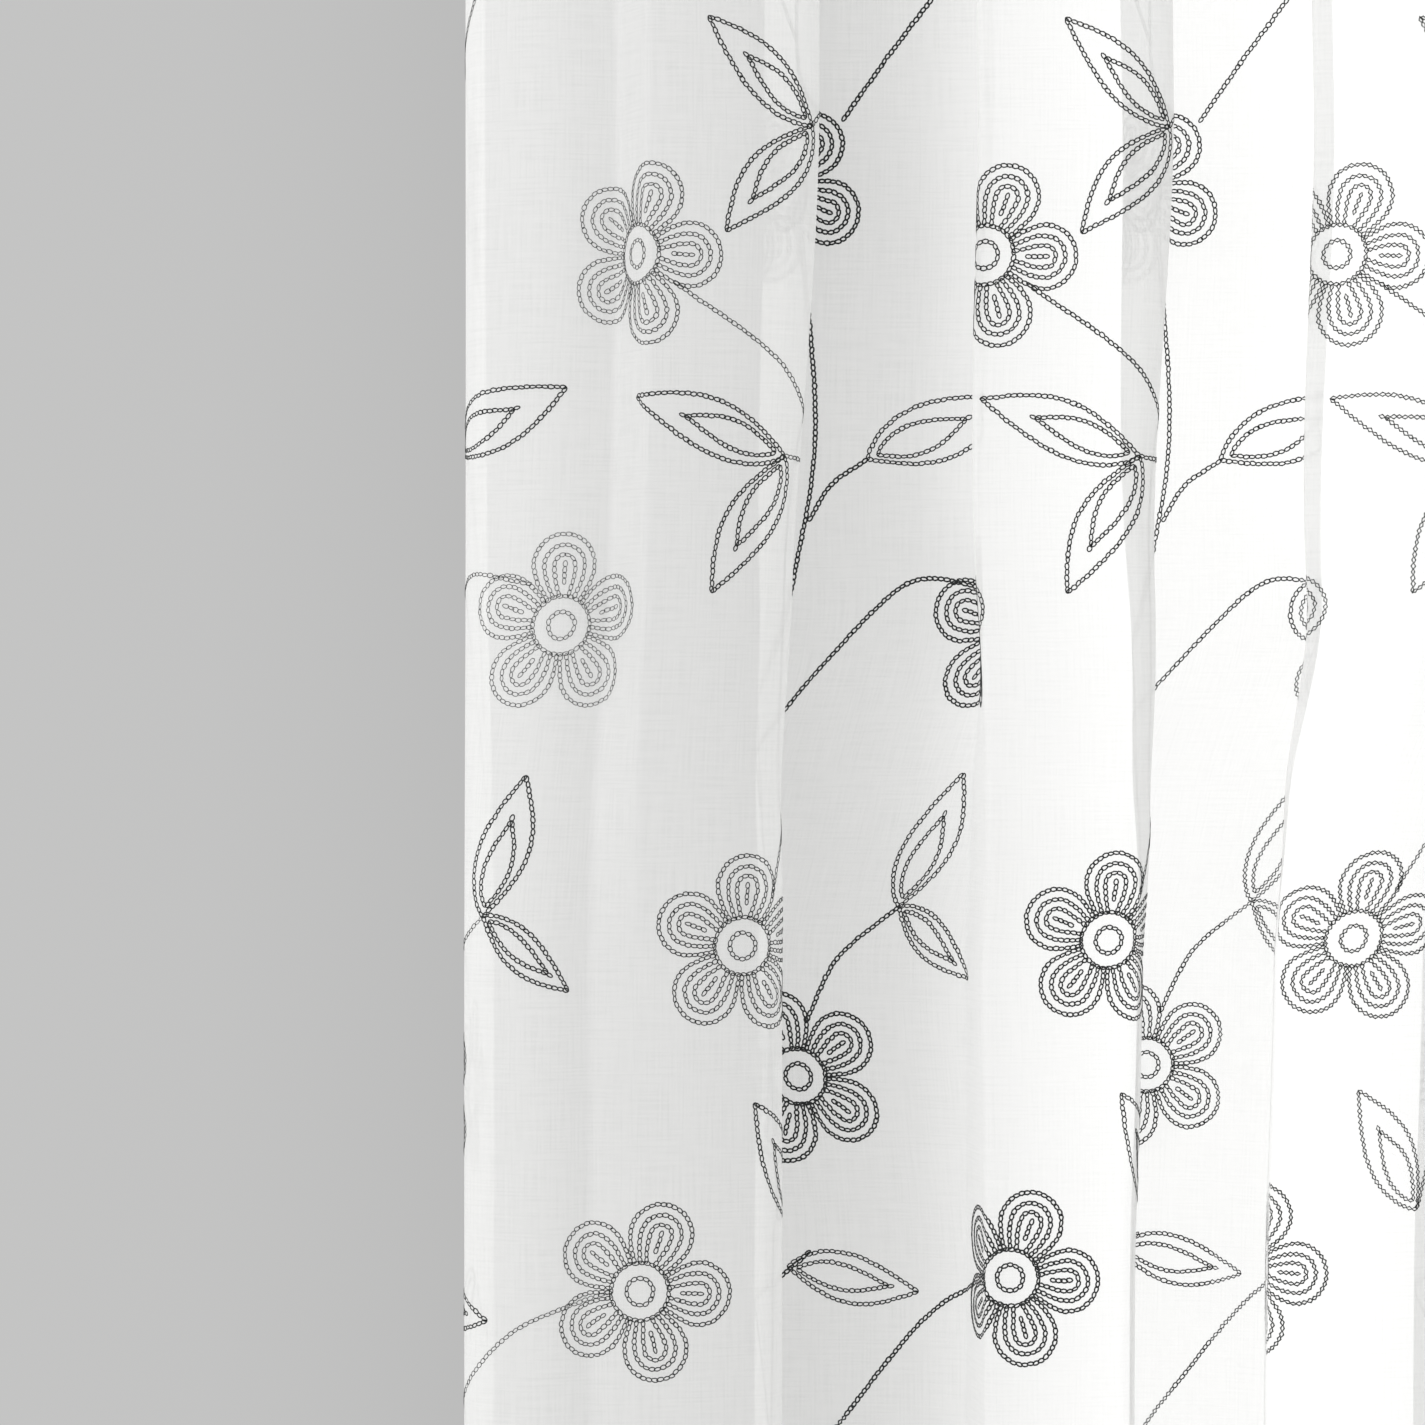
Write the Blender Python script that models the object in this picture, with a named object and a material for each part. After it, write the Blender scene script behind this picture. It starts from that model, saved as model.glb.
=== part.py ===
"""Sheer voile curtain: one hung panel of thin cloth with deep, uneven vertical folds.

The cloth is one sheet, 1.40 m wide and 2.45 m long when flat, hung by its top edge.
Frame: origin at the middle of the top edge, +X to the viewer's right along the curtain,
+Y back towards the window, +Z up.

Each level section of the curtain is a line that the cloth follows without stretching: the table
FOLDS says how far along the cloth each panel reaches and which way it runs there, and the section
is that direction added up along the cloth. Between the heights of the table the values run
smoothly, so a fold can open, lean or fade on its way down.
"""
from collections import namedtuple

import bpy
import numpy as np

# ---------------------------------------------------------------- driving dimensions (metres)
FLAT_WIDTH = 1.400          # of the cloth across, side hem to side hem
DROP = 2.450                # top edge to bottom edge
THICKNESS = 0.0012          # voile with its raised stitching
BEND = 0.0074               # cloth that goes round the turn between two panels
HUNG_WIDTH = 0.784          # across the hung folds
SECTION_STEP = 0.0005       # step along the cloth when a section is added up
MM = 0.001

# ---------------------------------------------------------------- mesh
BEND_STEPS = 3              # mesh steps round each turn
PANEL_STEPS = 3             # mesh steps along each panel
ROW_HEIGHTS = (2.450, 2.200, 1.950, 1.780, 1.640, 1.530, 1.430, 1.370, 1.310, 1.240, 1.165,
               1.085, 0.940, 0.650, 0.330, 0.0)

# ---------------------------------------------------------------- folds
# Heights above the bottom edge at which the table gives its values: head, upper, middle, turn,
# lower, low, hem.
HEIGHTS = (2.450, 1.642, 1.418, 1.320, 1.235, 1.085, 0.0)

# One row for each panel of cloth between two turns, from the left side edge to the right one.
#   ends  how far along the cloth the panel reaches, in mm from the left side edge, at each height
#   runs  its direction in degrees seen from above, at each height: 0 runs straight across to the
#         right, 90 straight back, 180 back to the left, and negative values come forward
#   bow   how many degrees the direction changes from the panel's start to its end
Fold = namedtuple("Fold", "name ends runs bow")
FOLDS = (
    Fold("left_return",   (62, 62, 74, 91, 99, 99, 101),               (-92, -95, -95, -95, -95, -95, -93),         4),
    Fold("front_1_turn",  (88, 88, 97, 109, 113, 113, 115),            (-76, -76, -66, -54, -48, -48, -48),         24),
    Fold("front_1_left",  (156, 157, 159, 162, 165, 165, 166),         (-4, -4, 2, 4, 4, 4, 4),                     48),
    Fold("front_1_wave",  (184, 184, 184, 185, 186, 186, 188),         (-62, -63, -56, -36, -4, -2, 2),             6),
    Fold("front_1_right", (253, 253, 244, 245, 248, 248, 250),         (8, 8, 18, 16, 11, 11, 8),                   10),
    Fold("front_1_edge",  (267, 267, 262, 262, 262, 262, 264),         (38, 37, 48, 56, 58, 58, 54),                16),
    Fold("return_1",      (312, 312, 311, 330, 348, 336, 338),         (128, 126, 109, 100, 97, 100, 100),          -6),
    Fold("back_1_left",   (366, 364, 364, 383, 400, 388, 390),         (2, 6, 3, -3, -8, 0, 0),                     -4),
    Fold("back_1_right",  (421, 420, 417, 435, 451, 439, 440),         (-4, 0, 0, -16, -22, -14, -12),              -14),
    Fold("return_2",      (471, 472, 475, 477, 477, 477, 476),         (-110, -103, -97, -85, -76, -80, -80),       3),
    Fold("front_2",       (552, 551, 550, 548, 548, 543, 540),         (4, 2, 0, 2, 3, 4, 6),                       12),
    Fold("front_2_edge",  (566, 565, 563, 561, 562, 557, 555),         (34, 30, 50, 58, 64, 64, 60),                16),
    Fold("return_3",      (612, 612, 618, 644, 660, 661, 664),         (124, 117, 98, 90, 85, 85, 85),              -6),
    Fold("back_2_left",   (662, 662, 664, 684, 694, 694, 696),         (0, 4, 2, -4, -8, -8, -6),                   -8),
    Fold("back_2_right",  (712, 712, 710, 720, 728, 728, 730),         (-10, -8, -10, -18, -24, -23, -20),          -14),
    Fold("return_4",      (762, 764, 768, 788, 802, 803, 806),         (-112, -110, -106, -100, -97, -97, -96),     4),
    Fold("front_3_left",  (815, 817, 821, 839, 850, 851, 856),         (-4, -6, -8, -7, -6, -6, -4),                14),
    Fold("front_3_right", (867, 869, 872, 886, 896, 897, 902),         (16, 18, 20, 20, 20, 20, 20),                16),
    Fold("return_5",      (905, 907, 912, 927, 937, 938, 944),         (126, 122, 118, 114, 110, 110, 106),         -6),
    Fold("back_3",        (990, 990, 994, 1006, 1014, 1015, 1020),     (-2, -4, -6, -8, -10, -10, -12),             -22),
    Fold("return_6",      (1034, 1034, 1038, 1052, 1062, 1063, 1070),  (-112, -108, -104, -100, -98, -98, -94),     4),
    Fold("front_4_left",  (1096, 1095, 1094, 1106, 1116, 1117, 1124),  (-6, -10, -12, -10, -8, -8, -6),             14),
    Fold("front_4_dip",   (1128, 1126, 1125, 1134, 1142, 1143, 1149),  (32, 31, 27, 22, 18, 18, 14),                8),
    Fold("front_4_right", (1176, 1175, 1174, 1179, 1184, 1185, 1190),  (4, 4, 6, 8, 10, 10, 12),                    14),
    Fold("return_7",      (1213, 1213, 1213, 1217, 1221, 1222, 1228),  (124, 122, 118, 115, 112, 112, 108),         -6),
    Fold("back_4",        (1298, 1299, 1300, 1302, 1304, 1304, 1308),  (-2, -4, -6, -7, -8, -8, -8),                -20),
    Fold("return_8",      (1334, 1336, 1338, 1340, 1342, 1342, 1346),  (-110, -106, -102, -100, -98, -98, -94),     4),
    Fold("front_5",       (1400, 1400, 1400, 1400, 1400, 1400, 1400),  (6, 8, 10, 11, 12, 12, 14),                  30),
)
ANCHOR_FOLD = "front_1_left"   # its left turn hangs straight down, at the curtain's left
FRONT_DEPTH = -0.040           # how far that turn lies in front of the middle of the top edge


def smooth_between(heights, values, height):
    """A smooth curve through the values, flat where they peak, read at one height."""
    x = np.array(heights[::-1])
    y = np.array(values[::-1], dtype=float)
    rise = np.diff(y) / np.diff(x)
    slope = np.zeros(len(y))
    for i in range(1, len(y) - 1):
        if rise[i - 1] * rise[i] > 0:
            slope[i] = 2 * rise[i - 1] * rise[i] / (rise[i - 1] + rise[i])
    k = int(np.clip(np.searchsorted(x, height) - 1, 0, len(x) - 2))
    span = x[k + 1] - x[k]
    t = (height - x[k]) / span
    return ((1 + 2 * t) * (1 - t) ** 2 * y[k] + t * (1 - t) ** 2 * span * slope[k]
            + t * t * (3 - 2 * t) * y[k + 1] + t * t * (t - 1) * span * slope[k + 1])


def directions(height):
    """Places along the cloth and the cloth's direction at each, at both ends of every panel."""
    places, turns = [], []
    start = 0.0
    for row, fold in enumerate(FOLDS):
        end = smooth_between(HEIGHTS, fold.ends, height) * MM
        run = smooth_between(HEIGHTS, fold.runs, height)
        first, last = row == 0, row == len(FOLDS) - 1
        places += [start + (0 if first else BEND / 2), end - (0 if last else BEND / 2)]
        turns += [run - fold.bow / 2, run + fold.bow / 2]
        start = end
    return np.array(places), np.radians(turns)


def section(height):
    """Distance along the cloth, and the level section's x and y there, at one height."""
    places, turns = directions(height)
    along = np.linspace(0.0, FLAT_WIDTH, int(round(FLAT_WIDTH / SECTION_STEP)) + 1)
    k = np.clip(np.searchsorted(places, along) - 1, 0, len(places) - 2)
    t = np.clip((along - places[k]) / (places[k + 1] - places[k]), 0, 1)
    ease = (1 - np.cos(np.pi * t)) / 2
    turn = turns[k] * (1 - ease) + turns[k + 1] * ease
    middle = (turn[1:] + turn[:-1]) / 2
    x = np.concatenate([[0], np.cumsum(np.cos(middle))]) * SECTION_STEP
    y = np.concatenate([[0], np.cumsum(np.sin(middle))]) * SECTION_STEP
    anchor_row = [fold.name for fold in FOLDS].index(ANCHOR_FOLD)
    near_anchor = along < places[2 * anchor_row + 1]
    x -= x[near_anchor].min() + HUNG_WIDTH / 2
    y -= np.interp(places[2 * anchor_row], along, y) - FRONT_DEPTH
    return along, x, y


def stations(height):
    """Where the mesh has its vertices along the cloth: steps round each turn and along each panel."""
    places, _ = directions(height)
    out = [places[0]]
    for i in range(1, len(places)):
        steps = PANEL_STEPS if i % 2 else BEND_STEPS
        out += list(np.linspace(places[i - 1], places[i], steps + 1)[1:])
    return np.array(out)


def build_cloth():
    """One closed sheet: a front and a back skin half the thickness each side of the sections."""
    front, back = [], []
    for height in ROW_HEIGHTS:
        along, x, y = section(height)
        at = stations(height)
        px, py = np.interp(at, along, x), np.interp(at, along, y)
        dx = np.interp(at, along, np.gradient(x, along))
        dy = np.interp(at, along, np.gradient(y, along))
        size = np.hypot(dx, dy)
        nx, ny = dy / size * THICKNESS / 2, -dx / size * THICKNESS / 2
        z = np.full(len(at), height - DROP)
        front.append(np.column_stack([px + nx, py + ny, z]))
        back.append(np.column_stack([px - nx, py - ny, z]))
    rows, columns = len(front), len(front[0])
    vertices = np.concatenate([np.concatenate(front), np.concatenate(back)])

    def at_front(row, column):
        return row * columns + column

    def at_back(row, column):
        return rows * columns + row * columns + column

    faces = []
    for r in range(rows - 1):
        for c in range(columns - 1):
            faces.append((at_front(r, c), at_front(r + 1, c), at_front(r + 1, c + 1), at_front(r, c + 1)))
            faces.append((at_back(r, c), at_back(r, c + 1), at_back(r + 1, c + 1), at_back(r + 1, c)))
        faces.append((at_front(r, 0), at_back(r, 0), at_back(r + 1, 0), at_front(r + 1, 0)))
        last = columns - 1
        faces.append((at_front(r, last), at_front(r + 1, last), at_back(r + 1, last), at_back(r, last)))
    for c in range(columns - 1):
        faces.append((at_front(0, c), at_front(0, c + 1), at_back(0, c + 1), at_back(0, c)))
        bottom = rows - 1
        faces.append((at_front(bottom, c), at_back(bottom, c), at_back(bottom, c + 1), at_front(bottom, c + 1)))
    mesh = bpy.data.meshes.new("voile_panel")
    mesh.from_pydata(vertices.tolist(), [], faces)
    mesh.validate()
    mesh.shade_smooth()
    return mesh


def voile_material():
    material = bpy.data.materials.new("voile")
    material.use_nodes = True
    shader = material.node_tree.nodes["Principled BSDF"]
    shader.inputs["Base Color"].default_value = (0.86, 0.86, 0.85, 1.0)
    shader.inputs["Roughness"].default_value = 0.85
    shader.inputs["Metallic"].default_value = 0.0
    return material


def main():
    for thing in list(bpy.context.scene.objects):
        bpy.data.objects.remove(thing, do_unlink=True)
    mesh = build_cloth()
    mesh.materials.append(voile_material())
    panel = bpy.data.objects.new("voile_panel", mesh)
    bpy.context.scene.collection.objects.link(panel)


main()
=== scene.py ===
"""Looks of the sheer voile curtain: the hung cloth with its hems, the chain-stitched flowers, leaves
and stems, the hem stitching, and a plain pale studio round them.

Frame, in metres: origin at the middle of the top edge, +X to the viewer's right, +Y back, +Z up.
Everything sewn is laid out on the flat cloth first. A place there is (across, height): the distance
from the left side edge and the height above the bottom edge. The fold table then says where that
place lies in the hung cloth.
"""
import math
from collections import namedtuple

import bpy
import numpy as np
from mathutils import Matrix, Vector


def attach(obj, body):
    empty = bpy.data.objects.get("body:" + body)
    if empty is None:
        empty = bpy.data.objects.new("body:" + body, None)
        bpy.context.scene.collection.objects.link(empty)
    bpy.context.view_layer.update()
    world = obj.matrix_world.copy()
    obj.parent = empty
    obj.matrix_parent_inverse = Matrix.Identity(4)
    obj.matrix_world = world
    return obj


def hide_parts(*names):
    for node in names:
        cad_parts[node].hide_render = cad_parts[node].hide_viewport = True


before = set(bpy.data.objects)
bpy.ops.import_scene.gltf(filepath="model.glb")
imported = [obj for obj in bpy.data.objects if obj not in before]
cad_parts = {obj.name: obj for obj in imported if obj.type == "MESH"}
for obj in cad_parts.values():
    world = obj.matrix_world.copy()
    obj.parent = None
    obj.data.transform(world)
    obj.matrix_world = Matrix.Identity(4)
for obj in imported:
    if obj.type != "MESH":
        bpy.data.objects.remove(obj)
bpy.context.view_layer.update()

MM = 0.001

# ---------------------------------------------------------------- cloth sizes (metres)
FLAT_WIDTH = 1.400          # across, side hem to side hem
DROP = 2.450                # top edge to bottom edge
BEND = 0.0074               # cloth that goes round the turn between two panels
HUNG_WIDTH = 0.784          # across the hung folds
SECTION_STEP = 0.0005       # step along the cloth when a section is added up
SECTION_COUNT = 246         # level sections between the bottom and the top edge

BEND_STEPS = 8              # mesh steps round each turn
PANEL_STEPS = 8             # mesh steps along each panel
CLOSE_ROWS = (1.02, 1.70)   # between these heights every section is a mesh row, elsewhere one in two

SIDE_HEM = 0.012            # turned to the back at each side
BOTTOM_HEM = 0.060
TOP_HEM = 0.030
LAYER = 0.0005              # between the cloth and a hem turned behind it

# ---------------------------------------------------------------- folds, as in the solid
# Heights above the bottom edge at which the table gives its values: head, upper, middle, turn, lower,
# low, hem.
HEIGHTS = (2.450, 1.642, 1.418, 1.320, 1.235, 1.085, 0.0)

# One row for each panel of cloth between two turns, from the left side edge to the right one.
#   ends  how far along the cloth the panel reaches, in mm from the left side edge, at each height
#   runs  its direction in degrees seen from above, at each height: 0 runs straight across to the
#         right, 90 straight back, 180 back to the left, and negative values come forward
#   bow   how many degrees the direction changes from the panel's start to its end
Fold = namedtuple("Fold", "name ends runs bow")
FOLDS = (
    Fold("left_return", (62, 62, 74, 91, 99, 99, 101), (-92, -95, -95, -95, -95, -95, -93), 4),
    Fold("front_1_turn", (88, 88, 97, 109, 113, 113, 115), (-76, -76, -66, -54, -48, -48, -48), 24),
    Fold("front_1_left", (156, 157, 159, 162, 165, 165, 166), (-4, -4, 2, 4, 4, 4, 4), 48),
    Fold("front_1_wave", (184, 184, 184, 185, 186, 186, 188), (-62, -63, -56, -36, -4, -2, 2), 6),
    Fold("front_1_right", (253, 253, 244, 245, 248, 248, 250), (8, 8, 18, 16, 11, 11, 8), 10),
    Fold("front_1_edge", (267, 267, 262, 262, 262, 262, 264), (38, 37, 48, 56, 58, 58, 54), 16),
    Fold("return_1", (312, 312, 311, 330, 348, 336, 338), (128, 126, 109, 100, 97, 100, 100), -6),
    Fold("back_1_left", (366, 364, 364, 383, 400, 388, 390), (2, 6, 3, -3, -8, 0, 0), -4),
    Fold("back_1_right", (421, 420, 417, 435, 451, 439, 440), (-4, 0, 0, -16, -22, -14, -12), -14),
    Fold("return_2", (471, 472, 475, 477, 477, 477, 476), (-110, -103, -97, -85, -76, -80, -80), 3),
    Fold("front_2", (552, 551, 550, 548, 548, 543, 540), (4, 2, 0, 2, 3, 4, 6), 12),
    Fold("front_2_edge", (566, 565, 563, 561, 562, 557, 555), (34, 30, 50, 58, 64, 64, 60), 16),
    Fold("return_3", (612, 612, 618, 644, 660, 661, 664), (124, 117, 98, 90, 85, 85, 85), -6),
    Fold("back_2_left", (662, 662, 664, 684, 694, 694, 696), (0, 4, 2, -4, -8, -8, -6), -8),
    Fold("back_2_right", (712, 712, 710, 720, 728, 728, 730), (-10, -8, -10, -18, -24, -23, -20), -14),
    Fold("return_4", (762, 764, 768, 788, 802, 803, 806), (-112, -110, -106, -100, -97, -97, -96), 4),
    Fold("front_3_left", (815, 817, 821, 839, 850, 851, 856), (-4, -6, -8, -7, -6, -6, -4), 14),
    Fold("front_3_right", (867, 869, 872, 886, 896, 897, 902), (16, 18, 20, 20, 20, 20, 20), 16),
    Fold("return_5", (905, 907, 912, 927, 937, 938, 944), (126, 122, 118, 114, 110, 110, 106), -6),
    Fold("back_3", (990, 990, 994, 1006, 1014, 1015, 1020), (-2, -4, -6, -8, -10, -10, -12), -22),
    Fold("return_6", (1034, 1034, 1038, 1052, 1062, 1063, 1070), (-112, -108, -104, -100, -98, -98, -94), 4),
    Fold("front_4_left", (1096, 1095, 1094, 1106, 1116, 1117, 1124), (-6, -10, -12, -10, -8, -8, -6), 14),
    Fold("front_4_dip", (1128, 1126, 1125, 1134, 1142, 1143, 1149), (32, 31, 27, 22, 18, 18, 14), 8),
    Fold("front_4_right", (1176, 1175, 1174, 1179, 1184, 1185, 1190), (4, 4, 6, 8, 10, 10, 12), 14),
    Fold("return_7", (1213, 1213, 1213, 1217, 1221, 1222, 1228), (124, 122, 118, 115, 112, 112, 108), -6),
    Fold("back_4", (1298, 1299, 1300, 1302, 1304, 1304, 1308), (-2, -4, -6, -7, -8, -8, -8), -20),
    Fold("return_8", (1334, 1336, 1338, 1340, 1342, 1342, 1346), (-110, -106, -102, -100, -98, -98, -94), 4),
    Fold("front_5", (1400, 1400, 1400, 1400, 1400, 1400, 1400), (6, 8, 10, 11, 12, 12, 14), 30),
)
ANCHOR_FOLD = "front_1_left"   # its left turn hangs straight down, at the curtain's left
FRONT_DEPTH = -0.040           # how far that turn lies in front of the middle of the top edge

# Soft creases on the panels: a ridge stands out in front, a trough (negative) lies back.
#   across, width  middle and half width on the flat cloth, in mm
#   top, bottom    heights above the bottom edge between which it shows, in metres
#   stand          how far it stands out, in mm
Crease = namedtuple("Crease", "name across width top bottom stand")
CREASES = (
    Crease("front_1_soft_ridge", 134, 10, 2.30, 1.50, 0.4),
    Crease("front_1_trough",     218, 13, 2.10, 1.30, -0.5),
    Crease("front_1_low_ridge",  160, 16, 1.36, 0.50, 0.6),
    Crease("back_1_trough",      342, 10, 1.90, 1.40, -0.5),
    Crease("back_1_ridge",       398, 12, 1.36, 0.70, 0.6),
    Crease("front_2_trough",     508, 12, 2.20, 1.50, -0.5),
    Crease("front_2_low_ridge",  512, 13, 1.40, 0.60, 0.6),
    Crease("back_2_ridge",       682, 12, 1.90, 0.90, 0.8),
    Crease("front_3_trough",     842, 10, 2.00, 0.60, -0.8),
    Crease("back_3_ridge",       962, 14, 1.80, 0.70, 0.9),
    Crease("front_4_trough",     1080, 10, 1.70, 0.40, -0.7),
    Crease("back_4_ridge",       1260, 14, 2.10, 0.90, 0.9),
    Crease("front_5_trough",     1368, 8, 1.60, 0.30, -0.6),
)

# ---------------------------------------------------------------- embroidery sizes (mm on the flat cloth)
LINK_PITCH = 2.75           # from one link of the chain to the next
LINK_LENGTH = 3.05          # between the thread's middles at a link's two ends
LINK_WIDTH = 1.75           # between the thread's middles across a link
THREAD = 0.60               # thread thickness
LINK_STAND = 0.28           # how far the middle of a link's thread stands above the cloth
LINK_FOOT = 0.08            # and the thread's two edges
PLAIN_LINK_STAND = 0.20     # and the flat thread of the links that the camera doesn't frame
LINK_TAPER = 0.16           # how much narrower a link is at one end and wider at the other
ROUND_STEPS, PLAIN_STEPS = 8, 4     # mesh steps round a link

# How uneven the links are: the spread of their length, breadth and stand as shares, of their
# direction in radians, and of their place in mm.
LENGTH_SPREAD = 0.05
BREADTH_SPREAD = 0.10
STAND_SPREAD = 0.12
TURN_SPREAD = 0.10
PLACE_SPREAD = 0.10
SEED = 11

# The columns of a table of links: place on the flat cloth, direction, the thread's share of the
# usual thickness, and 1 where the place on the cloth changes that share.
ACROSS, UP, TURN, SHARE, BY_PLACE = range(5)

REPEAT_ACROSS = 300.0       # the pattern's repeat
REPEAT_DOWN = 660.0
CHART_ACROSS = 176.0        # place of the chart's origin on the cloth: from the left side edge
CHART_HEIGHT = 1571.0       # and above the bottom edge
REPEATS_RIGHT = range(-1, 6)        # repeats beside the charted one, past both side edges
REPEATS_UP = range(-3, 3)           # and below and above it, past both ends

PETALS = 5
CENTRE_RING = 13.4          # radius of the ring round a flower's centre
EYE_RING = 6.2              # radius of the small ring in its middle
PETAL_MIDDLE = 27.6         # from the flower's middle to the middle of its petals' round ends
PETAL_SIDE = 5.5            # length of the handles that shape a petal's sides
PETAL_SPREAD = 4            # degrees by which the sides open beyond the direction of their foot
RING_STEPS, CAP_STEPS, LEAF_STEPS = 48, 24, 32     # steps round a ring, a petal's end, up a leaf
# Each petal has three U-shaped lines round one short vein.
#   foot   where the line leaves the centre ring, in degrees from the petal's axis
#   round  radius of its round end
PetalLine = namedtuple("PetalLine", "name foot round")
PETAL_LINES = (
    PetalLine("outer", 32, 14.4),
    PetalLine("middle", 21, 9.4),
    PetalLine("inner", 9, 5.0),
)
VEIN = (19.0, 29.5)         # from and to, along the petal's axis

LEAF_SIDES = ((1, 0.74), (-1, 1.0))    # each side and its power: a lower one bulges nearer the base
INNER_WIDTH = 0.52          # width of a leaf's inner outline, as a share of the outer one's
INNER_START = 0.07          # where the inner outline begins, as a share of the leaf's length

# ---------------------------------------------------------------- one repeat of the embroidery
# Places in mm across and up from the chart's origin, close to the middle of the flower called first.
#   turn    angle of one petal, in degrees from straight across, anticlockwise
#   thread  thickness of its thread, as a share of the usual one
Flower = namedtuple("Flower", "name across up turn thread")
FLOWERS = (
    Flower("first", 0, -2, 70, 1.00),
    Flower("upper_right", 141, 34, 50, 1.05),
    Flower("left", -40, -171, 90, 0.90),
    Flower("middle", 60, -319, 86, 1.15),
    Flower("right", 188, -388, 36, 1.00),
    Flower("lowest", 12, -478, 69, 1.25),
)
#   inner  length of the leaf's inner outline, as a share of the outer one's
#   width  half width of its outline, as a share of its length
Leaf = namedtuple("Leaf", "name base tip inner width")
LEAVES = (
    Leaf("top_pair_up",      (85, 57),    (36, 105),   0.63, 0.150),
    Leaf("top_pair_down",    (85, 57),    (44, 8),     0.70, 0.185),
    Leaf("side_pair_up",     (75, -93),   (1, -67),    0.66, 0.155),
    Leaf("side_pair_down",   (75, -93),   (40, -156),  0.66, 0.165),
    Leaf("branch_single",    (187, -91),  (258, -62),  0.66, 0.185),
    Leaf("low_pair_up",      (236, -305), (252, -240), 0.68, 0.185),
    Leaf("low_pair_down",    (236, -305), (278, -339), 0.76, 0.160),
    Leaf("bottom_upright",   (98, -449),  (66, -392),  0.66, 0.185),
    Leaf("bottom_level",     (176, -480), (239, -491), 0.77, 0.185),
)
LEAF_THREAD, STEM_THREAD = 1.05, 1.00   # their thread's thickness, as shares of the usual one
# Flowers and stems have thinner or fuller thread by place, as painted light and shade: thinner, so lighter,
# on the lit front fold, fuller, so darker, on the shaded back fold: mm from the left side edge, and the
# share there.
THREAD_BY_PLACE = ((0, 0.55), (165, 0.55), (195, 0.70), (255, 0.70), (275, 1.40), (440, 1.40),
                   (475, 1.05), (1400, 1.05))
# Stems run smoothly from one end to the other through the few points between.
Stem = namedtuple("Stem", "name points")
STEMS = (
    Stem("first_to_middle", ((20, -15), (75, -55), (95, -105), (95, -230), (75, -296))),
    Stem("side_pair", ((75, -93), (94, -95))),
    Stem("upper_right_to_bottom", ((154, 13), (162, -85), (145, -180), (120, -345), (98, -449))),
    Stem("branch_single", ((159, -120), (170, -103), (187, -91))),
    Stem("long_branch_to_left", ((137, -256), (165, -195), (205, -150), (245, -152))),
    Stem("low_pair_to_right", ((236, -305), (210, -330), (194, -361))),
    Stem("lowest_to_upper_right", ((298, -478), (250, -497), (205, -550), (173, -594))),
    Stem("top_pair_up", ((85, 57), (107, 85), (107, 150), (105, 207))),
    Stem("top_pair_to_level_leaf", ((108, 98), (135, 142), (187, 188))),
)

# ---------------------------------------------------------------- what the camera frames
PIXEL = 0.46 * MM           # size of one pixel of the photograph at the front folds
PHOTO_WIDTH = 1425          # in pixels
LEFT_ROLL_PIXEL = 462.5     # where the curtain's left roll stands in the photograph
EYE_HEIGHT = 1.360          # the photograph's middle, above the bottom edge
CAMERA_DISTANCE = 1.900     # from the front folds
SENSOR = 36.0               # mm
FRAMED_HALF_HEIGHT = 0.340  # links nearer to the eye's height than this are made round
FRAMED_ACROSS = 0.700       # and those up to here on the flat cloth
PIECE_LINKS = 6000          # most round links in one piece
PLAIN_PIECE_LINKS = 24000   # most plain ones

rng = np.random.default_rng(SEED)


# ---------------------------------------------------------------- the hung cloth
def smooth_between(heights, values, height):
    """A smooth curve through the values, flat where they peak, read at one height."""
    x = np.array(heights[::-1])
    y = np.array(values[::-1], dtype=float)
    rise = np.diff(y) / np.diff(x)
    slope = np.zeros(len(y))
    for i in range(1, len(y) - 1):
        if rise[i - 1] * rise[i] > 0:
            slope[i] = 2 * rise[i - 1] * rise[i] / (rise[i - 1] + rise[i])
    k = int(np.clip(np.searchsorted(x, height) - 1, 0, len(x) - 2))
    span = x[k + 1] - x[k]
    t = (height - x[k]) / span
    return ((1 + 2 * t) * (1 - t) ** 2 * y[k] + t * (1 - t) ** 2 * span * slope[k]
            + t * t * (3 - 2 * t) * y[k + 1] + t * t * (t - 1) * span * slope[k + 1])


def directions(height):
    """Places along the cloth and the cloth's direction at each, at both ends of every panel."""
    places, turns = [], []
    start = 0.0
    for row, fold in enumerate(FOLDS):
        end = smooth_between(HEIGHTS, fold.ends, height) * MM
        run = smooth_between(HEIGHTS, fold.runs, height)
        first, last = row == 0, row == len(FOLDS) - 1
        places += [start + (0 if first else BEND / 2), end - (0 if last else BEND / 2)]
        turns += [run - fold.bow / 2, run + fold.bow / 2]
        start = end
    return np.array(places), np.radians(turns)


def section(height):
    """Distance along the cloth, and the level section's x and y there, at one height."""
    places, turns = directions(height)
    along = np.linspace(0.0, FLAT_WIDTH, int(round(FLAT_WIDTH / SECTION_STEP)) + 1)
    k = np.clip(np.searchsorted(places, along) - 1, 0, len(places) - 2)
    t = np.clip((along - places[k]) / (places[k + 1] - places[k]), 0, 1)
    ease = (1 - np.cos(np.pi * t)) / 2
    turn = turns[k] * (1 - ease) + turns[k + 1] * ease
    middle = (turn[1:] + turn[:-1]) / 2
    x = np.concatenate([[0], np.cumsum(np.cos(middle))]) * SECTION_STEP
    y = np.concatenate([[0], np.cumsum(np.sin(middle))]) * SECTION_STEP
    anchor_row = [fold.name for fold in FOLDS].index(ANCHOR_FOLD)
    near_anchor = along < places[2 * anchor_row + 1]
    x -= x[near_anchor].min() + HUNG_WIDTH / 2
    y -= np.interp(places[2 * anchor_row], along, y) - FRONT_DEPTH
    return along, x, y


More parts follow.
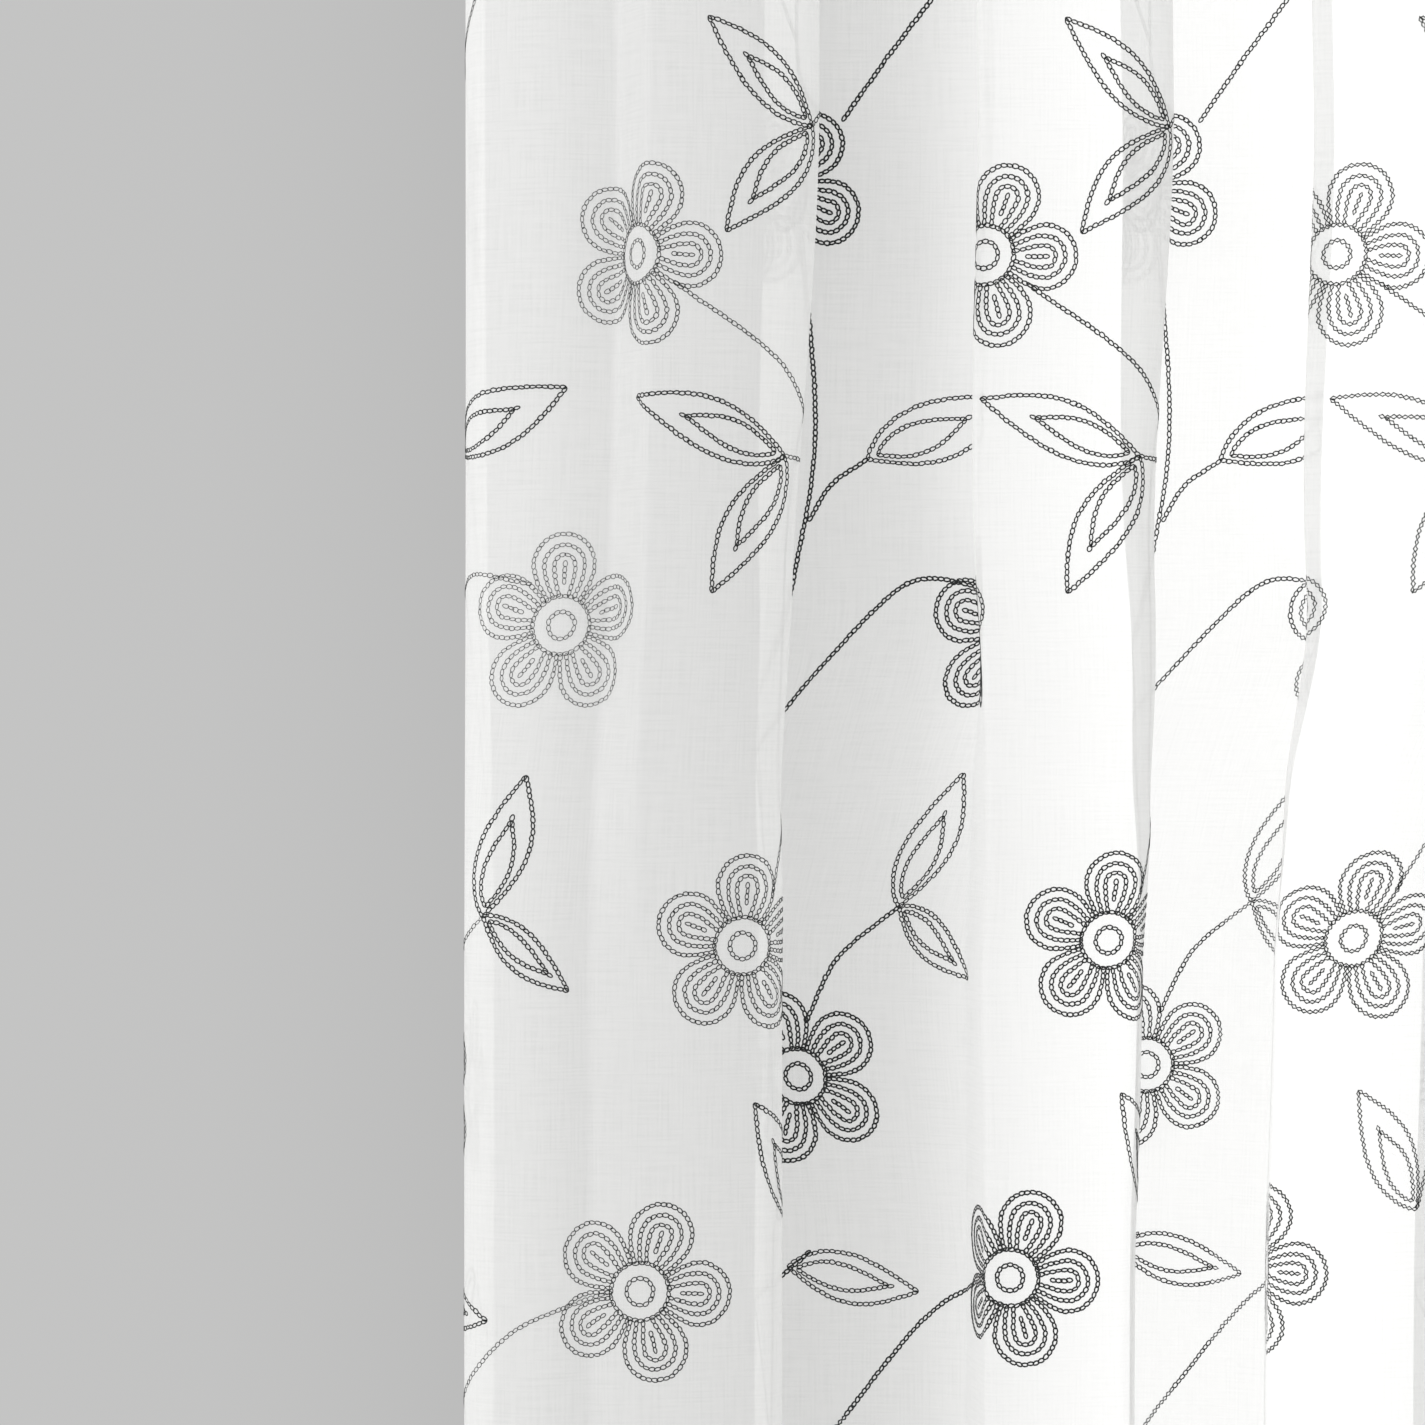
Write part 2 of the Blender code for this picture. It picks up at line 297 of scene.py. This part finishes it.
def stations(height):
    """Where the cloth's mesh has its columns at one height: steps round turns and along panels."""
    places, _ = directions(height)
    out = [places[0]]
    for i in range(1, len(places)):
        steps = PANEL_STEPS if i % 2 else BEND_STEPS
        out += list(np.linspace(places[i - 1], places[i], steps + 1)[1:])
    return np.array(out)


class HungCloth:
    """The hung cloth's surface: says where a place on the flat cloth lies."""

    def __init__(self):
        self.heights = np.linspace(0.0, DROP, SECTION_COUNT)
        sections = [section(height) for height in self.heights]
        self.along = sections[0][0]
        self.x = np.array([x for _, x, _ in sections])
        self.y = np.array([y for _, _, y in sections])
        self.find_normals()
        stand = self.crease_stand()
        self.x += self.normal_x * stand
        self.y += self.normal_y * stand
        self.find_normals()

    def find_normals(self):
        """Level directions square to the cloth, towards the side that carries the embroidery."""
        dx = np.gradient(self.x, axis=1)
        dy = np.gradient(self.y, axis=1)
        size = np.hypot(dx, dy)
        self.normal_x = dy / size
        self.normal_y = -dx / size

    def crease_stand(self):
        """How far the soft creases move the cloth along its normals, section by section."""
        total = np.zeros_like(self.x)
        for crease in CREASES:
            across = (self.along - crease.across * MM) / (crease.width * MM)
            share = np.clip((self.heights - crease.bottom) / (crease.top - crease.bottom), 0, 1)
            fade = np.sin(np.pi * share) ** 2
            total += crease.stand * MM * np.outer(fade, np.exp(-across ** 2))
        return total

    def place(self, across, height, lift):
        """World points of places on the flat cloth, lifted off it along its normal."""
        rows, columns = self.x.shape
        i = np.clip(height / DROP * (rows - 1), 0, rows - 1.001)
        j = np.clip(across / FLAT_WIDTH * (columns - 1), 0, columns - 1.001)
        i0, j0 = i.astype(int), j.astype(int)
        a, b = i - i0, j - j0

        def read(table):
            low = table[i0, j0] * (1 - b) + table[i0, j0 + 1] * b
            high = table[i0 + 1, j0] * (1 - b) + table[i0 + 1, j0 + 1] * b
            return low * (1 - a) + high * a

        x = read(self.x) + read(self.normal_x) * lift
        y = read(self.y) + read(self.normal_y) * lift
        return np.stack([x, y, height - DROP], axis=-1)


# ---------------------------------------------------------------- meshes and nodes
UV_NAME = "flat"


def mesh_piece(name, points, quads, uv, material):
    """An object from arrays of points, four-sided faces and a UV place for each point."""
    mesh = bpy.data.meshes.new(name)
    mesh.vertices.add(len(points))
    mesh.vertices.foreach_set("co", points.astype(np.float32).ravel())
    mesh.loops.add(quads.size)
    mesh.loops.foreach_set("vertex_index", quads.astype(np.int32).ravel())
    mesh.polygons.add(len(quads))
    mesh.polygons.foreach_set("loop_start", np.arange(0, quads.size, 4, dtype=np.int32))
    layer = mesh.uv_layers.new(name=UV_NAME)
    layer.data.foreach_set("uv", uv[quads.ravel()].astype(np.float32).ravel())
    mesh.update(calc_edges=True)
    mesh.validate()
    mesh.shade_smooth()
    mesh.materials.append(material)
    piece = bpy.data.objects.new(name, mesh)
    bpy.context.scene.collection.objects.link(piece)
    return piece


def grid_quads(rows, columns):
    """Faces of a grid of points stored row by row, facing the embroidered side."""
    corner = (np.arange(rows - 1)[:, None] * columns + np.arange(columns - 1)).ravel()
    return np.column_stack([corner, corner + 1, corner + columns + 1, corner + columns])


def add_node(tree, kind, settings=None, **inputs):
    """A shader node with its settings, and inputs that are values or other nodes' sockets."""
    node = tree.nodes.new(kind)
    for key, value in (settings or {}).items():
        setattr(node, key, value)
    for key, value in inputs.items():
        if key.startswith("in_"):
            socket = node.inputs[int(key[3:])]
        else:
            socket = node.inputs[key.replace("_", " ")]
        if isinstance(value, bpy.types.NodeSocket):
            tree.links.new(value, socket)
        else:
            socket.default_value = value
    return node


def math_node(tree, operation, *values):
    """The result of one operation on values or other nodes' sockets."""
    inputs = {f"in_{i}": value for i, value in enumerate(values)}
    return add_node(tree, "ShaderNodeMath", {"operation": operation}, **inputs).outputs[0]


def flat_place(tree):
    """The place on the flat cloth, in metres across and up."""
    return add_node(tree, "ShaderNodeUVMap", {"uv_map": UV_NAME}).outputs[0]


def mixed_colour(tree, share, first, second):
    """A colour between two others."""
    mix = add_node(tree, "ShaderNodeMix", {"data_type": "RGBA"}, in_0=share, in_6=first, in_7=second)
    return mix.outputs[2]


def empty_material(name):
    """A material without nodes, and its node tree."""
    material = bpy.data.materials.new(name)
    material.use_nodes = True
    material.node_tree.nodes.clear()
    return material, material.node_tree


def stretched_noise(tree, place, across, along):
    """Noise with cells of these sizes in metres, across and up the flat cloth."""
    scaled = add_node(tree, "ShaderNodeVectorMath", {"operation": "MULTIPLY"},
                      in_0=place, in_1=(1 / across, 1 / along, 1.0))
    noise = add_node(tree, "ShaderNodeTexNoise", {"noise_dimensions": "2D"},
                     Vector=scaled.outputs[0], Scale=1.0, Detail=1.0)
    return noise.outputs[0]


# ---------------------------------------------------------------- materials
WEAVE_PITCH = 0.42 * MM     # from one thread of the voile to the next
OPACITY = 0.70              # share of the light that one layer stops
SLUB = 0.05                 # how much uneven threads change it
WEAVE_DEPTH = 0.12          # how much the weave itself changes it
SHINE_THROUGH = 0.32        # share of the stopped light that comes out on the far side
VOILE_COLOURS = ((0.86, 0.87, 0.86, 1), (0.93, 0.93, 0.925, 1))
WARP_SLUB = (0.9 * MM, 34 * MM)     # uneven stretches of the upright threads: size across and up
WEFT_SLUB = (26 * MM, 0.9 * MM)     # and of the level ones
CLOUD = (7 * MM, 9 * MM)            # soft patches of closer and looser weave
CLOUD_SHARE = 0.5                   # their strength beside the slubs
UNEVEN_MIDDLE = 1.25                # what both slubs and the clouds add up to on average
SLUB_HEIGHT = 1.5                   # height of the slubs beside the weave's

CHARCOAL = ((0.008, 0.009, 0.009, 1), (0.038, 0.041, 0.041, 1))
WHITE = ((0.62, 0.62, 0.61, 1), (0.84, 0.84, 0.83, 1))
FIBRE = 0.25 * MM                   # size of the thread's fine unevenness
PATCH = 2.4 * MM                    # and of its lighter and darker stretches
THREAD_CONTRAST = 2.2               # strength of the change from its dark to its light colour


def voile_material():
    """White sheer plain weave: fine threads with slubs, part see-through, part shining through."""
    material, tree = empty_material("voile_weave")
    place = flat_place(tree)
    split = add_node(tree, "ShaderNodeSeparateXYZ", in_0=place)
    turns_per_metre = 2 * math.pi / WEAVE_PITCH
    warp = math_node(tree, "SINE", math_node(tree, "MULTIPLY", split.outputs[0], turns_per_metre))
    weft = math_node(tree, "SINE", math_node(tree, "MULTIPLY", split.outputs[1], turns_per_metre))
    weave = math_node(tree, "MULTIPLY", warp, weft)
    warp_slubs = stretched_noise(tree, place, *WARP_SLUB)
    weft_slubs = stretched_noise(tree, place, *WEFT_SLUB)
    clouds = stretched_noise(tree, place, *CLOUD)
    slubs = math_node(tree, "ADD", warp_slubs, weft_slubs)
    uneven = math_node(tree, "ADD", slubs, math_node(tree, "MULTIPLY", clouds, CLOUD_SHARE))
    uneven = math_node(tree, "SUBTRACT", uneven, UNEVEN_MIDDLE)
    opacity = math_node(tree, "MULTIPLY_ADD", uneven, SLUB, OPACITY)
    opacity = math_node(tree, "MULTIPLY_ADD", weave, WEAVE_DEPTH, opacity)
    tint = mixed_colour(tree, slubs, *VOILE_COLOURS)
    height = math_node(tree, "ADD", weave, math_node(tree, "MULTIPLY", slubs, SLUB_HEIGHT))
    bump = add_node(tree, "ShaderNodeBump", Strength=0.12, Distance=0.05 * MM, Height=height).outputs[0]
    face = add_node(tree, "ShaderNodeBsdfPrincipled", Base_Color=tint, Roughness=0.8,
                    Specular_IOR_Level=0.2, Sheen_Weight=0.15, Normal=bump)
    through = add_node(tree, "ShaderNodeBsdfTranslucent", Color=tint)
    cloth = add_node(tree, "ShaderNodeMixShader", in_0=SHINE_THROUGH, in_1=face.outputs[0],
                     in_2=through.outputs[0])
    clear = add_node(tree, "ShaderNodeBsdfTransparent")
    mixed = add_node(tree, "ShaderNodeMixShader", in_0=opacity, in_1=clear.outputs[0],
                     in_2=cloth.outputs[0])
    add_node(tree, "ShaderNodeOutputMaterial", Surface=mixed.outputs[0])
    return material


def thread_material(name, dark, light):
    """Dull thread: fine fibres, and stretches that are lighter and darker."""
    material, tree = empty_material(name)
    place = flat_place(tree)
    fibres = stretched_noise(tree, place, FIBRE, FIBRE)
    patches = stretched_noise(tree, place, PATCH, PATCH)
    share = math_node(tree, "MULTIPLY", fibres, patches)
    share = math_node(tree, "MULTIPLY", share, THREAD_CONTRAST)
    tint = mixed_colour(tree, share, dark, light)
    bump = add_node(tree, "ShaderNodeBump", Strength=0.3, Distance=0.06 * MM, Height=fibres).outputs[0]
    shader = add_node(tree, "ShaderNodeBsdfPrincipled", Base_Color=tint, Roughness=0.55,
                      Specular_IOR_Level=0.12, Normal=bump)
    add_node(tree, "ShaderNodeOutputMaterial", Surface=shader.outputs[0])
    return material


# ---------------------------------------------------------------- the cloth
# Steps of a turned hem from its raw edge to its fold, first flat behind the cloth and then round:
# distance from the fold as a share of the hem's width, and depth as a share of the layer.
HEM_STEPS = ((1.0, 1.0), (0.66, 1.0), (0.33, 1.0), (0.06, 1.0), (0.01, 0.5))


def turned_hem(edge, inwards, width, layer):
    """Places and lifts of a hem's mesh steps, from its raw edge to its fold."""
    return [(edge + inwards * width * share, -layer * depth) for share, depth in HEM_STEPS]


def cloth_columns(height):
    """Places across and lifts of the mesh columns at one height, the turned side hems included."""
    left = turned_hem(0.0, 1, SIDE_HEM, LAYER)
    right = turned_hem(FLAT_WIDTH, -1, SIDE_HEM, LAYER)[::-1]
    main = [(across, 0.0) for across in stations(height)]
    return np.array(left + main + right)


def cloth_rows(cloth):
    """Heights and lifts of the mesh rows, the turned bottom and top hems included."""
    bottom = turned_hem(0.0, 1, BOTTOM_HEM, 2 * LAYER)
    top = turned_hem(DROP, -1, TOP_HEM, 2 * LAYER)[::-1]
    main = []
    for place, height in enumerate(cloth.heights):
        close = CLOSE_ROWS[0] < height < CLOSE_ROWS[1]
        if close or place % 2 == 0 or place == SECTION_COUNT - 1:
            main.append((height, 0.0))
    return bottom + main + top


def make_cloth(cloth, material):
    """The whole panel as one thin sheet with its hems turned to the back."""
    points, places = [], []
    rows = cloth_rows(cloth)
    for height, row_lift in rows:
        columns = cloth_columns(height)
        across, lift = columns[:, 0], columns[:, 1] + row_lift
        level = np.full(len(across), height)
        points.append(cloth.place(across, level, lift))
        places.append(np.column_stack([across, level]))
    quads = grid_quads(len(rows), len(points[0]))
    return mesh_piece("voile_cloth", np.concatenate(points), quads, np.concatenate(places), material)


# ---------------------------------------------------------------- lines of the embroidery (mm)
def smooth_line(points, steps=12):
    """A smooth curve through the points, as closely spaced places."""
    p = np.array(points, dtype=float)
    p = np.vstack([2 * p[0] - p[1], p, 2 * p[-1] - p[-2]])
    out = [p[1]]
    for a, b, c, d in zip(p[:-3], p[1:-2], p[2:-1], p[3:]):
        for t in np.arange(1, steps + 1) / steps:
            out.append(0.5 * (2 * b + (c - a) * t + (2 * a - 5 * b + 4 * c - d) * t * t
                              + (3 * b - a - 3 * c + d) * t ** 3))
    return np.array(out)


def ring_line(radius):
    """A closed circle of this radius round a flower's middle."""
    angle = np.linspace(0, 2 * np.pi, RING_STEPS + 1)
    return radius * np.column_stack([np.cos(angle), np.sin(angle)])


def bezier(start, first, second, end, steps=10):
    """A cubic curve between two ends, shaped by the two handles between them."""
    t = np.linspace(0, 1, steps + 1)[:, None]
    return ((1 - t) ** 3 * np.array(start) + 3 * t * (1 - t) ** 2 * np.array(first)
            + 3 * t * t * (1 - t) * np.array(second) + t ** 3 * np.array(end))


def petal_line(line):
    """One U-shaped line of a petal whose axis points along +x: side, round end, side."""
    foot = math.radians(line.foot)
    lean = math.radians(line.foot + PETAL_SPREAD)
    start = CENTRE_RING * np.array([math.cos(foot), math.sin(foot)])
    first = start + PETAL_SIDE * np.array([math.cos(lean), math.sin(lean)])
    second = (PETAL_MIDDLE - PETAL_SIDE, line.round)
    side = bezier(start, first, second, (PETAL_MIDDLE, line.round))
    angle = np.radians(np.linspace(90, -90, CAP_STEPS + 1))[1:-1]
    cap = np.column_stack([PETAL_MIDDLE + line.round * np.cos(angle), line.round * np.sin(angle)])
    return np.vstack([side, cap, side[::-1] * (1, -1)])


def flower_lines(flower):
    """All lines of a flower: two rings, and for each petal three U shapes and a vein."""
    lines = [ring_line(CENTRE_RING), ring_line(EYE_RING)]
    petal = [petal_line(line) for line in PETAL_LINES]
    petal.append(np.array([(VEIN[0], 0), (VEIN[1], 0)]))
    for k in range(PETALS):
        angle = math.radians(flower.turn + 360 / PETALS * k)
        turn = np.array([[math.cos(angle), math.sin(angle)], [-math.sin(angle), math.cos(angle)]])
        lines += [line @ turn for line in petal]
    return [line + (flower.across, flower.up) for line in lines]


def leaf_lines(leaf):
    """A leaf's outline and inner outline, each as two sides from the base, and one link at its tip."""
    base = np.array(leaf.base, dtype=float)
    spine = np.array(leaf.tip, dtype=float) - base
    length = math.hypot(*spine)
    spine /= length
    square = np.array([-spine[1], spine[0]])
    t = np.linspace(0, 1, LEAF_STEPS + 1)[:, None]
    lines = []
    for start, reach, breadth in ((0.0, 1.0, 1.0), (INNER_START, leaf.inner, INNER_WIDTH)):
        for side, power in LEAF_SIDES:
            swell = side * np.sin(np.pi * t ** power) * leaf.width * length * breadth
            lines.append(base + spine * (start + (reach - start) * t) * length + square * swell)
    inner_tip = base + spine * length * leaf.inner
    lines.append(np.array([inner_tip, inner_tip + spine * LINK_PITCH]))
    return lines


def repeat_lines():
    """Every line of one repeat, with its links' last two columns: SHARE and BY_PLACE."""
    lines = []
    for flower in FLOWERS:
        lines += [(line, flower.thread, 1) for line in flower_lines(flower)]
    for leaf in LEAVES:
        lines += [(line, LEAF_THREAD, 0) for line in leaf_lines(leaf)]
    for stem in STEMS:
        lines.append((smooth_line(stem.points), STEM_THREAD, 1))
    return lines


def link_places(line, share, by_place):
    """The table of links along a line, spaced as near the pitch as fits."""
    run = np.concatenate([[0], np.cumsum(np.hypot(*np.diff(line, axis=0).T))])
    count = max(1, round(run[-1] / LINK_PITCH))
    at = (np.arange(count) + 0.5) * run[-1] / count

    def read(distance):
        return np.column_stack([np.interp(distance, run, line[:, 0]), np.interp(distance, run, line[:, 1])])

    ahead = read(at + LINK_PITCH / 3) - read(at - LINK_PITCH / 3)
    turn = np.arctan2(ahead[:, 1], ahead[:, 0])
    return np.column_stack([read(at), turn, np.full(count, share), np.full(count, by_place)])


def all_links():
    """The table of every link on the cloth, with its places in metres."""
    one = np.vstack([link_places(*line) for line in repeat_lines()])
    links = []
    for right in REPEATS_RIGHT:
        for up in REPEATS_UP:
            shift = (CHART_ACROSS + right * REPEAT_ACROSS, CHART_HEIGHT + up * REPEAT_DOWN, 0, 0, 0)
            links.append(one + shift)
    links = np.vstack(links)
    # Painted light and shade: thinner thread on the lit front fold, fuller thread on the shaded back fold.
    share = np.interp(links[:, ACROSS], *zip(*THREAD_BY_PLACE))
    links[:, SHARE] *= np.where(links[:, BY_PLACE] > 0, share, 1.0)
    links[:, [ACROSS, UP]] *= MM
    across, height = links[:, ACROSS], links[:, UP]
    margin = LINK_LENGTH * MM
    inside = (across > SIDE_HEM + margin) & (across < FLAT_WIDTH - SIDE_HEM - margin)
    inside &= (height > margin) & (height < DROP - margin)
    return links[inside]


# ---------------------------------------------------------------- links of thread
def ring_template(steps, profile):
    """Points of one link in mm, for each step round its loop and each place in the thread's profile:
    the thread's middle along and across, the way out from there along and across, and up. The
    profile gives (outwards, up): in shares of half the thread's thickness, and in mm."""
    angle = np.arange(steps) * 2 * np.pi / steps
    along = LINK_LENGTH / 2 * np.cos(angle)
    across = LINK_WIDTH / 2 * (1 - LINK_TAPER * np.cos(angle)) * np.sin(angle)
    out = []
    for outwards, up in profile:
        reach = outwards * THREAD / 2
        out.append(np.column_stack([along, across, reach * np.cos(angle), reach * np.sin(angle),
                                    np.full(steps, up)]))
    return np.stack(out, axis=1).reshape(steps * len(profile), -1)


def ring_faces(steps, profile_count):
    """Faces of one link, each between two neighbouring steps and two neighbouring profile places."""
    faces = []
    for k in range(steps):
        here, there = k * profile_count, (k + 1) % steps * profile_count
        for p in range(profile_count - 1):
            faces.append((here + p, here + p + 1, there + p + 1, there + p))
    return np.array(faces)


ROUND_PROFILE = ((-1, LINK_FOOT), (0, LINK_STAND), (1, LINK_FOOT))
PLAIN_PROFILE = ((-1, PLAIN_LINK_STAND), (1, PLAIN_LINK_STAND))
ROUND_LINK = ring_template(ROUND_STEPS, ROUND_PROFILE)
ROUND_FACES = ring_faces(ROUND_STEPS, len(ROUND_PROFILE))
PLAIN_LINK = ring_template(PLAIN_STEPS, PLAIN_PROFILE)
PLAIN_FACES = ring_faces(PLAIN_STEPS, len(PLAIN_PROFILE))


def make_links(name, cloth, links, template, faces, material):
    """One piece of many links, each a little uneven in size, place and direction."""
    count = len(links)
    length = rng.normal(1.0, LENGTH_SPREAD, (count, 1))
    breadth = rng.normal(1.0, BREADTH_SPREAD, (count, 1))
    stand = rng.normal(1.0, STAND_SPREAD, (count, 1))
    turn = links[:, [TURN]] + rng.normal(0.0, TURN_SPREAD, (count, 1))
    shift = rng.normal(0.0, PLACE_SPREAD * MM, (count, 2))
    share = links[:, [SHARE]]
    middle_along, middle_across, out_along, out_across, up = template.T
    along = (middle_along * length + out_along * share) * MM
    across = (middle_across * breadth + out_across * share) * MM
    lift = up * stand * MM
    flat_across = links[:, [ACROSS]] + shift[:, :1] + along * np.cos(turn) - across * np.sin(turn)
    flat_height = links[:, [UP]] + shift[:, 1:] + along * np.sin(turn) + across * np.cos(turn)
    points = cloth.place(flat_across, flat_height, lift).reshape(-1, 3)
    places = np.column_stack([flat_across.ravel(), flat_height.ravel()])
    starts = np.arange(count)[:, None, None] * len(template)
    quads = (faces[None, :, :] + starts).reshape(-1, 4)
    return mesh_piece(name, points, quads, places, material)


def make_embroidery(cloth, material):
    """All chain stitches, in pieces: round links where the camera looks, plain ones elsewhere."""
    links = all_links()
    framed = np.abs(links[:, UP] - EYE_HEIGHT) < FRAMED_HALF_HEIGHT
    framed &= links[:, ACROSS] < FRAMED_ACROSS
    near, far = links[framed], links[~framed]
    near = near[np.argsort(near[:, ACROSS], kind="stable")]
    far = far[np.argsort(far[:, UP], kind="stable")]
    pieces = []
    for name, some, template, faces, most in (
            ("chain_stitch_near", near, ROUND_LINK, ROUND_FACES, PIECE_LINKS),
            ("chain_stitch_far", far, PLAIN_LINK, PLAIN_FACES, PLAIN_PIECE_LINKS)):
        for k, part in enumerate(np.array_split(some, math.ceil(len(some) / most))):
            pieces.append(make_links(f"{name}_{k + 1}", cloth, part, template, faces, material))
    return pieces


# ---------------------------------------------------------------- hem stitching
STITCH_PITCH = 3.2 * MM
STITCH_LENGTH = 2.4 * MM
STITCH_WIDTH = 0.36 * MM
STITCH_STAND = 0.22 * MM
STITCH_INSET = 1.5 * MM     # from a hem's raw edge
# One stitch: along, across and up as shares of its length, width and stand.
STITCH_POINTS = np.array([(-0.5, 0, 0.1), (-0.3, -0.5, 0.2), (-0.3, 0.5, 0.2), (-0.3, 0, 1),
                          (0.3, -0.5, 0.2), (0.3, 0.5, 0.2), (0.3, 0, 1), (0.5, 0, 0.1)])
STITCH_FACES = np.array([(0, 1, 3, 2), (1, 4, 6, 3), (3, 6, 5, 2), (4, 7, 5, 6)])


def make_hem_stitching(cloth, material):
    """A line of small straight stitches along the raw edge of every hem."""
    side = SIDE_HEM - STITCH_INSET
    bottom = BOTTOM_HEM - STITCH_INSET
    top = DROP - TOP_HEM + STITCH_INSET
    lines = (
        ((side, 0.0), (side, DROP)),
        ((FLAT_WIDTH - side, 0.0), (FLAT_WIDTH - side, DROP)),
        ((0.0, bottom), (FLAT_WIDTH, bottom)),
        ((0.0, top), (FLAT_WIDTH, top)),
    )
    across, height, lift = [], [], []
    for start, end in lines:
        start, end = np.array(start), np.array(end)
        length = math.hypot(*(end - start))
        ahead = (end - start) / length
        beside = np.array([-ahead[1], ahead[0]])
        middles = np.arange(STITCH_PITCH, length - STITCH_PITCH / 2, STITCH_PITCH)
        for middle in middles:
            flat = (start + ahead * middle + STITCH_POINTS[:, :1] * STITCH_LENGTH * ahead
                    + STITCH_POINTS[:, 1:2] * STITCH_WIDTH * beside)
            across.append(flat[:, 0])
            height.append(flat[:, 1])
            lift.append(STITCH_POINTS[:, 2] * STITCH_STAND)
    across, height, lift = np.concatenate(across), np.concatenate(height), np.concatenate(lift)
    points = cloth.place(across, height, lift)
    starts = np.arange(len(across) // len(STITCH_POINTS))[:, None, None] * len(STITCH_POINTS)
    quads = (STITCH_FACES[None, :, :] + starts).reshape(-1, 4)
    return mesh_piece("hem_stitching", points, quads, np.column_stack([across, height]), material)


# ---------------------------------------------------------------- studio
# Plain soft light all round: degrees to the right of straight ahead as the camera sees it, and grey.
# Dimmer behind the curtain's left and middle, brighter behind its right.
SURROUNDINGS = (
    (-180, 0.90), (-40, 0.85), (-8, 0.55), (2, 0.45), (6, 1.50), (40, 0.85), (180, 0.90),
)
BRIGHTEST = 1.5             # grey that the ramp's full white stands for
WARMTH = 0.995              # blue beside the other two, a trace less than neutral

# Two soft square lights, turned to the curtain's middle at the camera's height: size in metres, power
# in watts.
Lamp = namedtuple("Lamp", "name place size power")
LAMPS = (
    Lamp("key_left", (-2.3, -1.9, -0.5), 1.6, 18),
    Lamp("back_right", (1.6, 1.9, -0.6), 1.4, 6),
)

FLOOR_HALF = 2.4            # half the floor's side
FLOOR_GAP = 0.02            # between the hem and the floor
FLOOR_COLOUR = (0.80, 0.80, 0.79)
FLOOR_DARKER = 0.96         # its darker patches, as a share of that


def grey_ramp(tree, bearing, table):
    """Greys of a table by compass direction, as shares of the brightest one."""
    share = math_node(tree, "MULTIPLY_ADD", bearing, 0.5 / math.pi, 0.5)
    ramp = add_node(tree, "ShaderNodeValToRGB", in_0=share)
    ramp.color_ramp.interpolation = "EASE"
    stops = ramp.color_ramp.elements
    while len(stops) < len(table):
        stops.new(0.5)      # at any place, since its own is set below
    for stop, (degrees, grey) in zip(stops, table):
        level = grey / BRIGHTEST
        stop.position = (degrees + 180) / 360
        stop.color = (level, level, level * WARMTH, 1)
    return ramp.outputs[0]


def make_surroundings():
    """Soft light from all round, which also shows through the cloth as a plain ground."""
    world = bpy.data.worlds.new("studio")
    bpy.context.scene.world = world
    world.use_nodes = True
    tree = world.node_tree
    tree.nodes.clear()
    look = add_node(tree, "ShaderNodeTexCoord").outputs["Generated"]
    split = add_node(tree, "ShaderNodeSeparateXYZ", in_0=look)
    bearing = math_node(tree, "ARCTAN2", split.outputs[0], split.outputs[1])
    grey = grey_ramp(tree, bearing, SURROUNDINGS)
    light = add_node(tree, "ShaderNodeBackground", Color=grey, Strength=BRIGHTEST)
    add_node(tree, "ShaderNodeOutputWorld", Surface=light.outputs[0])


def make_lamps():
    """The soft square lights, which the camera doesn't see."""
    target = Vector((0.0, 0.0, EYE_HEIGHT - DROP))
    for lamp in LAMPS:
        light = bpy.data.lights.new(lamp.name, "AREA")
        light.size = lamp.size
        light.energy = lamp.power
        holder = bpy.data.objects.new(lamp.name, light)
        holder.location = lamp.place
        holder.rotation_euler = (target - Vector(lamp.place)).to_track_quat("-Z", "Y").to_euler()
        holder.visible_camera = False
        bpy.context.scene.collection.objects.link(holder)


def floor_material():
    """Matt and pale, with faint broad patches."""
    material, tree = empty_material("floor_pale")
    place = add_node(tree, "ShaderNodeTexCoord").outputs["Object"]
    mottle = add_node(tree, "ShaderNodeTexNoise", Vector=place, Scale=3.0, Detail=2.0).outputs[0]
    darker = tuple(FLOOR_DARKER * part for part in FLOOR_COLOUR)
    tint = mixed_colour(tree, mottle, (*darker, 1), (*FLOOR_COLOUR, 1))
    shader = add_node(tree, "ShaderNodeBsdfPrincipled", Base_Color=tint, Roughness=0.7)
    add_node(tree, "ShaderNodeOutputMaterial", Surface=shader.outputs[0])
    return material


def make_floor():
    """A plain pale floor just under the hem, below what the camera frames."""
    sides = ((-1, -1), (1, -1), (1, 1), (-1, 1))
    height = -DROP - FLOOR_GAP
    corners = np.array([(FLOOR_HALF * x, FLOOR_HALF * y, height) for x, y in sides])
    floor = mesh_piece("floor", corners, np.array([(0, 1, 2, 3)]), corners[:, :2], floor_material())


def make_camera():
    """The photograph's view: level, square to the curtain, with its framing."""
    camera = bpy.data.cameras.new("camera")
    camera.sensor_width = SENSOR
    camera.lens = SENSOR * CAMERA_DISTANCE / (PHOTO_WIDTH * PIXEL)
    holder = bpy.data.objects.new("camera", camera)
    across = -HUNG_WIDTH / 2 + (PHOTO_WIDTH / 2 - LEFT_ROLL_PIXEL) * PIXEL
    holder.location = (across, FRONT_DEPTH - CAMERA_DISTANCE, EYE_HEIGHT - DROP)
    holder.rotation_euler = (math.radians(90), 0, 0)
    bpy.context.scene.collection.objects.link(holder)
    bpy.context.scene.camera = holder


def main():
    """The studio, then the curtain's pieces and what the frame is told about each."""
    bpy.context.scene.view_settings.view_transform = "Standard"
    make_camera()
    make_surroundings()
    make_lamps()
    make_floor()

    cloth = HungCloth()
    panel = make_cloth(cloth, voile_material())
    embroidery = make_embroidery(cloth, thread_material("charcoal_thread", *CHARCOAL))
    hem = make_hem_stitching(cloth, thread_material("white_thread", *WHITE))

    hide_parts("voile_panel")
    for piece in [panel, hem, *embroidery]:
        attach(piece, "root")


main()
